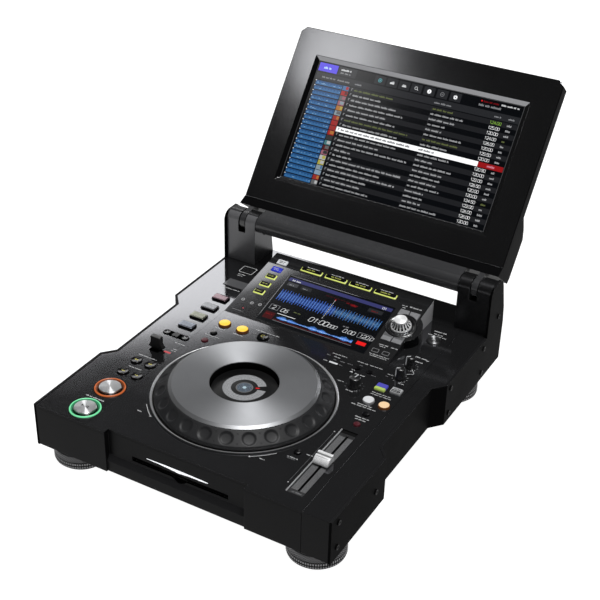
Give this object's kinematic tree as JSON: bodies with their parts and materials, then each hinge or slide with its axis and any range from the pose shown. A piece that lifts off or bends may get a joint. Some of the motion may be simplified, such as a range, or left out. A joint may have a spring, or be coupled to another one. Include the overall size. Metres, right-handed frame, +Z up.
{
  "type": "tabletop disc player",
  "caption": "Tabletop disc player for DJ use with a jog wheel, deck display, tempo fader, slot-loading drive and a fold-up touchscreen lid on a rear hinge.",
  "frame": {"origin": "on the surface the feet stand on, in the middle of the overall box in X and Y", "axes": "+X to the right as the user faces the player, +Y from the front edge to the back, +Z up"},
  "size_m": [0.385, 0.5996, 0.3501],
  "materials": {
    "black_paint": "satin black, fine texture",
    "deck_finish": "moulding with satin graphite paint, fine texture",
    "black_moulding": "fine moulded grain",
    "plate_metal": "bead-blasted black anodised",
    "pan_steel": "powder coat",
    "socket_plastic": "moulded",
    "pin_steel": "ground",
    "foot_metal": "knurled, bead-blasted",
    "foot_rubber": "matte",
    "housing_gloss": "satin gloss black",
    "deck_screen": "glossy display",
    "trim_silver": "satin",
    "jog_screen": "display under a clear window",
    "glow_ring": "lit light guide",
    "fader_strip": "ribbed",
    "circuit_board": "solder mask",
    "cage_steel": "zinc plated sheet",
    "screw_black": "blackened",
    "lid_black": "moulding with satin black paint, fine texture",
    "lid_screen": "glossy touchscreen",
    "jog_rubber": "soft-touch dimpled",
    "platter_metal": "spun",
    "cap_metal": "radially spun",
    "key_black": "gloss",
    "key_rose": "translucent",
    "key_grey": "translucent",
    "key_green": "translucent",
    "key_blue": "translucent",
    "key_yellow": "lit",
    "key_white": "lit",
    "key_tan": "lit",
    "key_sync": "lit, two colours",
    "key_silver": "satin",
    "door_smoke": "smoked"
  },
  "bodies": {
    "player": {"base_pan": "pan_steel", "deck_center": "deck_finish", "deck_left": "deck_finish", "deck_right": "deck_finish", "front_panel": "black_moulding", "rear_panel": "black_paint", "rear_sockets": "socket_plastic", "side_plates": "plate_metal", "hinge_pillars": "plate_metal", "hinge_pins": "pin_steel", "foot_rings": "foot_metal", "foot_pads": "foot_rubber", "display_housing": "housing_gloss", "deck_display": "deck_screen", "jog_ring": "trim_silver", "jog_display": "jog_screen", "light_rings": "glow_ring", "tempo_track": "fader_strip", "main_board": "circuit_board", "power_supply": "cage_steel", "disc_drive": "cage_steel", "case_screws": "screw_black"},
    "lid": {"lid_back": "lid_black", "lid_bezel": "lid_black", "lid_touchscreen": "lid_screen", "hinge_cover": "lid_black"},
    "jog_wheel": {"jog_rim": "jog_rubber", "jog_platter": "platter_metal"},
    "play_button_part": {"play_button": "cap_metal"},
    "cue_button_part": {"cue_button": "cap_metal"},
    "track_back_key_part": {"track_back_key": "key_black"},
    "track_next_key_part": {"track_next_key": "key_black"},
    "search_back_key_part": {"search_back_key": "key_black"},
    "search_next_key_part": {"search_next_key": "key_black"},
    "hot_cue_key_a_part": {"hot_cue_key_a": "key_rose"},
    "hot_cue_key_b_part": {"hot_cue_key_b": "key_grey"},
    "hot_cue_key_c_part": {"hot_cue_key_c": "key_green"},
    "hot_cue_key_d_part": {"hot_cue_key_d": "key_blue"},
    "loop_in_key_part": {"loop_in_key": "key_yellow"},
    "loop_out_key_part": {"loop_out_key": "key_yellow"},
    "reloop_key_part": {"reloop_key": "key_black"},
    "call_keys_part": {"call_keys": "key_black"},
    "bank_keys_part": {"bank_keys": "key_black"},
    "direction_lever_part": {"direction_lever": "key_black"},
    "tempo_knob_part": {"tempo_knob": "trim_silver"},
    "selector_knob_part": {"selector_knob": "cap_metal"},
    "selector_keys_part": {"selector_keys": "key_grey"},
    "source_keys_part": {"source_keys": "key_white"},
    "menu_keys_part": {"menu_keys": "key_black"},
    "eject_button_part": {"eject_button": "key_black"},
    "release_knob_part": {"release_knob": "key_black"},
    "touch_knob_part": {"touch_knob": "key_black"},
    "jog_adjust_knob_part": {"jog_adjust_knob": "key_black"},
    "sync_keys_part": {"sync_keys": "key_sync"},
    "sync_mode_key_part": {"sync_mode_key": "key_silver"},
    "round_key_white_part": {"round_key_white": "key_white"},
    "round_key_tan_part": {"round_key_tan": "key_tan"},
    "tempo_keys_part": {"tempo_keys": "key_black"},
    "memory_keys_part": {"memory_keys": "key_black"},
    "card_door_part": {"card_door": "door_smoke"}
  },
  "joints": [
    {"name": "lid_hinge", "type": "hinge", "parent": "player", "child": "lid", "pos_m": [0, 0.11117, 0.1385], "axis": [1, 0, 0], "range_deg": [-10, 127.5]},
    {"name": "jog_spin", "type": "hinge", "parent": "player", "child": "jog_wheel", "pos_m": [0.0013, -0.16063, 0.09], "axis": [0, 0, 1], "continuous": true},
    {"name": "play_button_press", "type": "slide", "parent": "player", "child": "play_button_part", "axis": [0, 0, 1], "range_m": [-0.0015, 0], "stiffness_N_per_m": 300},
    {"name": "cue_button_press", "type": "slide", "parent": "player", "child": "cue_button_part", "axis": [0, 0, 1], "range_m": [-0.0015, 0], "stiffness_N_per_m": 300},
    {"name": "track_back_key_press", "type": "slide", "parent": "player", "child": "track_back_key_part", "axis": [0, 0, 1], "range_m": [-0.0015, 0], "stiffness_N_per_m": 300},
    {"name": "track_next_key_press", "type": "slide", "parent": "player", "child": "track_next_key_part", "axis": [0, 0, 1], "range_m": [-0.0015, 0], "stiffness_N_per_m": 300},
    {"name": "search_back_key_press", "type": "slide", "parent": "player", "child": "search_back_key_part", "axis": [0, 0, 1], "range_m": [-0.0015, 0], "stiffness_N_per_m": 300},
    {"name": "search_next_key_press", "type": "slide", "parent": "player", "child": "search_next_key_part", "axis": [0, 0, 1], "range_m": [-0.0015, 0], "stiffness_N_per_m": 300},
    {"name": "hot_cue_key_a_press", "type": "slide", "parent": "player", "child": "hot_cue_key_a_part", "axis": [0, 0, 1], "range_m": [-0.0015, 0], "stiffness_N_per_m": 300},
    {"name": "hot_cue_key_b_press", "type": "slide", "parent": "player", "child": "hot_cue_key_b_part", "axis": [0, 0, 1], "range_m": [-0.0015, 0], "stiffness_N_per_m": 300},
    {"name": "hot_cue_key_c_press", "type": "slide", "parent": "player", "child": "hot_cue_key_c_part", "axis": [0, 0, 1], "range_m": [-0.0015, 0], "stiffness_N_per_m": 300},
    {"name": "hot_cue_key_d_press", "type": "slide", "parent": "player", "child": "hot_cue_key_d_part", "axis": [0, 0, 1], "range_m": [-0.0015, 0], "stiffness_N_per_m": 300},
    {"name": "loop_in_key_press", "type": "slide", "parent": "player", "child": "loop_in_key_part", "axis": [0, 0, 1], "range_m": [-0.0015, 0], "stiffness_N_per_m": 300},
    {"name": "loop_out_key_press", "type": "slide", "parent": "player", "child": "loop_out_key_part", "axis": [0, 0, 1], "range_m": [-0.0015, 0], "stiffness_N_per_m": 300},
    {"name": "reloop_key_press", "type": "slide", "parent": "player", "child": "reloop_key_part", "axis": [0, 0, 1], "range_m": [-0.0015, 0], "stiffness_N_per_m": 300},
    {"name": "call_keys_press", "type": "slide", "parent": "player", "child": "call_keys_part", "axis": [0, 0, 1], "range_m": [-0.0015, 0], "stiffness_N_per_m": 300},
    {"name": "bank_keys_press", "type": "slide", "parent": "player", "child": "bank_keys_part", "axis": [0, 0, 1], "range_m": [-0.0015, 0], "stiffness_N_per_m": 300},
    {"name": "eject_button_press", "type": "slide", "parent": "player", "child": "eject_button_part", "axis": [0, 0, 1], "range_m": [-0.0015, 0], "stiffness_N_per_m": 300},
    {"name": "sync_keys_press", "type": "slide", "parent": "player", "child": "sync_keys_part", "axis": [0, 0, 1], "range_m": [-0.0015, 0], "stiffness_N_per_m": 300},
    {"name": "sync_mode_key_press", "type": "slide", "parent": "player", "child": "sync_mode_key_part", "axis": [0, 0, 1], "range_m": [-0.0015, 0], "stiffness_N_per_m": 300},
    {"name": "round_key_white_press", "type": "slide", "parent": "player", "child": "round_key_white_part", "axis": [0, 0, 1], "range_m": [-0.0015, 0], "stiffness_N_per_m": 300},
    {"name": "round_key_tan_press", "type": "slide", "parent": "player", "child": "round_key_tan_part", "axis": [0, 0, 1], "range_m": [-0.0015, 0], "stiffness_N_per_m": 300},
    {"name": "tempo_keys_press", "type": "slide", "parent": "player", "child": "tempo_keys_part", "axis": [0, 0, 1], "range_m": [-0.0015, 0], "stiffness_N_per_m": 300},
    {"name": "memory_keys_press", "type": "slide", "parent": "player", "child": "memory_keys_part", "axis": [0, 0, 1], "range_m": [-0.0015, 0], "stiffness_N_per_m": 300},
    {"name": "selector_keys_press", "type": "slide", "parent": "player", "child": "selector_keys_part", "axis": [0, -0.2394, 0.9709], "range_m": [-0.001, 0], "stiffness_N_per_m": 300},
    {"name": "source_keys_press", "type": "slide", "parent": "player", "child": "source_keys_part", "axis": [0, -0.2394, 0.9709], "range_m": [-0.001, 0], "stiffness_N_per_m": 300},
    {"name": "menu_keys_press", "type": "slide", "parent": "player", "child": "menu_keys_part", "axis": [0, -0.2394, 0.9709], "range_m": [-0.001, 0], "stiffness_N_per_m": 300},
    {"name": "direction_lever_tilt", "type": "hinge", "parent": "player", "child": "direction_lever_part", "pos_m": [-0.1393, -0.13433, 0.076], "axis": [1, 0, 0], "range_deg": [-12, 12]},
    {"name": "tempo_slide", "type": "slide", "parent": "player", "child": "tempo_knob_part", "axis": [0, 1, 0], "range_m": [-0.05, 0.05]},
    {"name": "selector_turn", "type": "hinge", "parent": "player", "child": "selector_knob_part", "pos_m": [0.0989, 0.0433, 0.09604], "axis": [0, -0.2394, 0.9709], "continuous": true},
    {"name": "release_turn", "type": "hinge", "parent": "player", "child": "release_knob_part", "pos_m": [0.1373, -0.00843, 0.08], "axis": [0, 0, 1], "range_deg": [-150, 150]},
    {"name": "touch_turn", "type": "hinge", "parent": "player", "child": "touch_knob_part", "pos_m": [0.1373, -0.03623, 0.08], "axis": [0, 0, 1], "range_deg": [-150, 150]},
    {"name": "jog_adjust_turn", "type": "hinge", "parent": "player", "child": "jog_adjust_knob_part", "pos_m": [0.0996, -0.07823, 0.08], "axis": [0, 0, 1], "range_deg": [-150, 150]},
    {"name": "card_door_open", "type": "hinge", "parent": "player", "child": "card_door_part", "pos_m": [-0.1392, 0.05077, 0.0804], "axis": [1, 0, 0], "range_deg": [-100, 0]}
  ]
}
